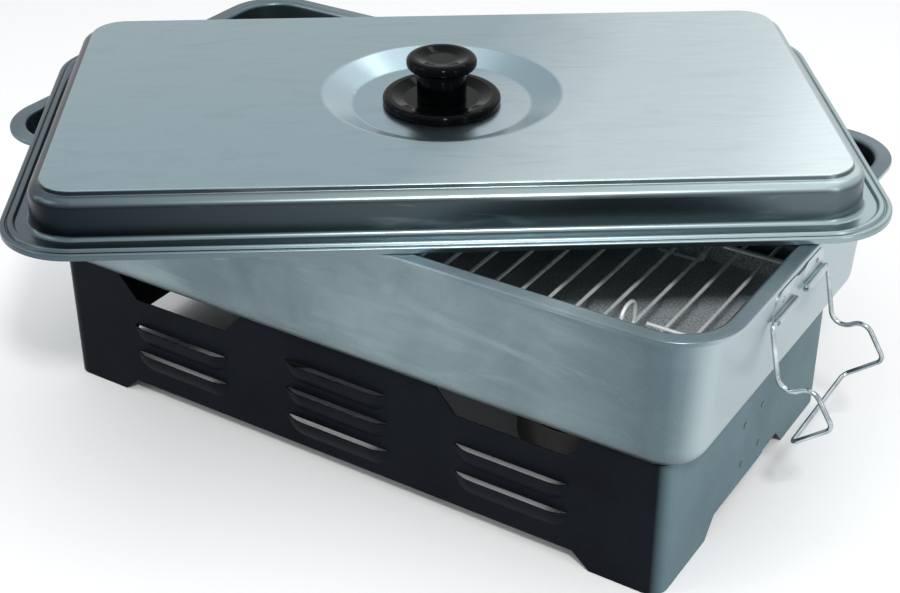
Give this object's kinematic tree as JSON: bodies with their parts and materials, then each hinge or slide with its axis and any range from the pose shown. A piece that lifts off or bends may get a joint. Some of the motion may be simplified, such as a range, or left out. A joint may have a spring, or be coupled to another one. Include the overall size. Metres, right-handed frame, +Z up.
{
  "type": "stovetop smoker box",
  "caption": "Rectangular smoker box on a louvred stand: deep pan with drip tray and wire rack, hanging wire bails and a loose dished lid with a round knob.",
  "frame": {"origin": "on the table under the middle of the stand", "axes": "+X along the stand's long side to the right, +Y to the back, +Z up"},
  "size_m": [0.4744, 0.4192, 0.1994],
  "materials": {
    "stand_paint": "satin black coating",
    "pan_steel": "brushed stainless",
    "lid_steel": "brushed stainless",
    "hinge_steel": "satin stainless",
    "weld_mark": "heat-tinted stainless",
    "stand_weld": "satin black coating",
    "bail_wire": "polished",
    "rack_wire": "polished",
    "tray_steel": "dull grained stainless",
    "knob_plastic": "glossy",
    "fastener_steel": "satin",
    "insert_brass": "machined",
    "burner_steel": "satin",
    "burner_pad": "matted mineral wool"
  },
  "bodies": {
    "base": {"base_front_shell": "stand_paint", "base_back_shell": "stand_paint", "base_weld_spots": "stand_weld"},
    "burner_right": {"burner_cup_right": "burner_steel", "burner_pad_right": "burner_pad"},
    "burner_left": {"burner_cup_left": "burner_steel", "burner_pad_left": "burner_pad"},
    "burner_cover_right": {"burner_grille_right": "burner_steel"},
    "burner_cover_left": {"burner_grille_left": "burner_steel"},
    "pan": {"pan": "pan_steel", "hinge_plate_right": "hinge_steel", "hinge_plate_left": "hinge_steel", "hinge_weld_spots": "weld_mark"},
    "bail_right": {"bail_right": "bail_wire"},
    "bail_left": {"bail_left": "bail_wire"},
    "drip_tray": {"drip_tray": "tray_steel"},
    "rack": {"rack_cross_wires": "rack_wire", "rack_rails": "rack_wire", "rack_end_bows": "rack_wire", "rack_lifting_loops": "rack_wire", "rack_legs": "rack_wire"},
    "knob": {"knob_skirt": "knob_plastic", "knob_grip": "knob_plastic", "knob_insert": "insert_brass", "knob_washer": "fastener_steel", "knob_screw": "fastener_steel"},
    "lid": {"lid": "lid_steel"}
  },
  "joints": [
    {"name": "burner_right_out", "type": "slide", "parent": "base", "child": "burner_right", "axis": [0, 0, -1], "range_m": [0, 0.06]},
    {"name": "burner_left_out", "type": "slide", "parent": "base", "child": "burner_left", "axis": [0, 0, -1], "range_m": [0, 0.06]},
    {"name": "burner_cover_right_lift", "type": "slide", "parent": "burner_right", "child": "burner_cover_right", "axis": [0, 0, 1], "range_m": [0, 0.04]},
    {"name": "burner_cover_left_lift", "type": "slide", "parent": "burner_left", "child": "burner_cover_left", "axis": [0, 0, 1], "range_m": [0, 0.04]},
    {"name": "pan_lift", "type": "slide", "parent": "base", "child": "pan", "axis": [0, 0, 1], "range_m": [0, 0.08]},
    {"name": "tray_lift", "type": "slide", "parent": "pan", "child": "drip_tray", "axis": [0, 0, 1], "range_m": [0, 0.085]},
    {"name": "rack_lift", "type": "slide", "parent": "drip_tray", "child": "rack", "axis": [0, 0, 1], "range_m": [0, 0.085]},
    {"name": "lid_lift", "type": "slide", "parent": "rack", "child": "knob", "axis": [0, 0, 1], "range_m": [0, 0.06]},
    {"name": "lid_turn", "type": "hinge", "parent": "knob", "child": "lid", "pos_m": [0, 0, 0.175], "axis": [0, 0, 1], "range_deg": [-35, 0]},
    {"name": "bail_right_swing", "type": "hinge", "parent": "pan", "child": "bail_right", "pos_m": [0.20229, 0, 0.12303], "axis": [0, -1, 0], "range_deg": [0, 90]},
    {"name": "bail_left_swing", "type": "hinge", "parent": "pan", "child": "bail_left", "pos_m": [-0.20229, 0, 0.12303], "axis": [0, 1, 0], "range_deg": [0, 90]}
  ]
}
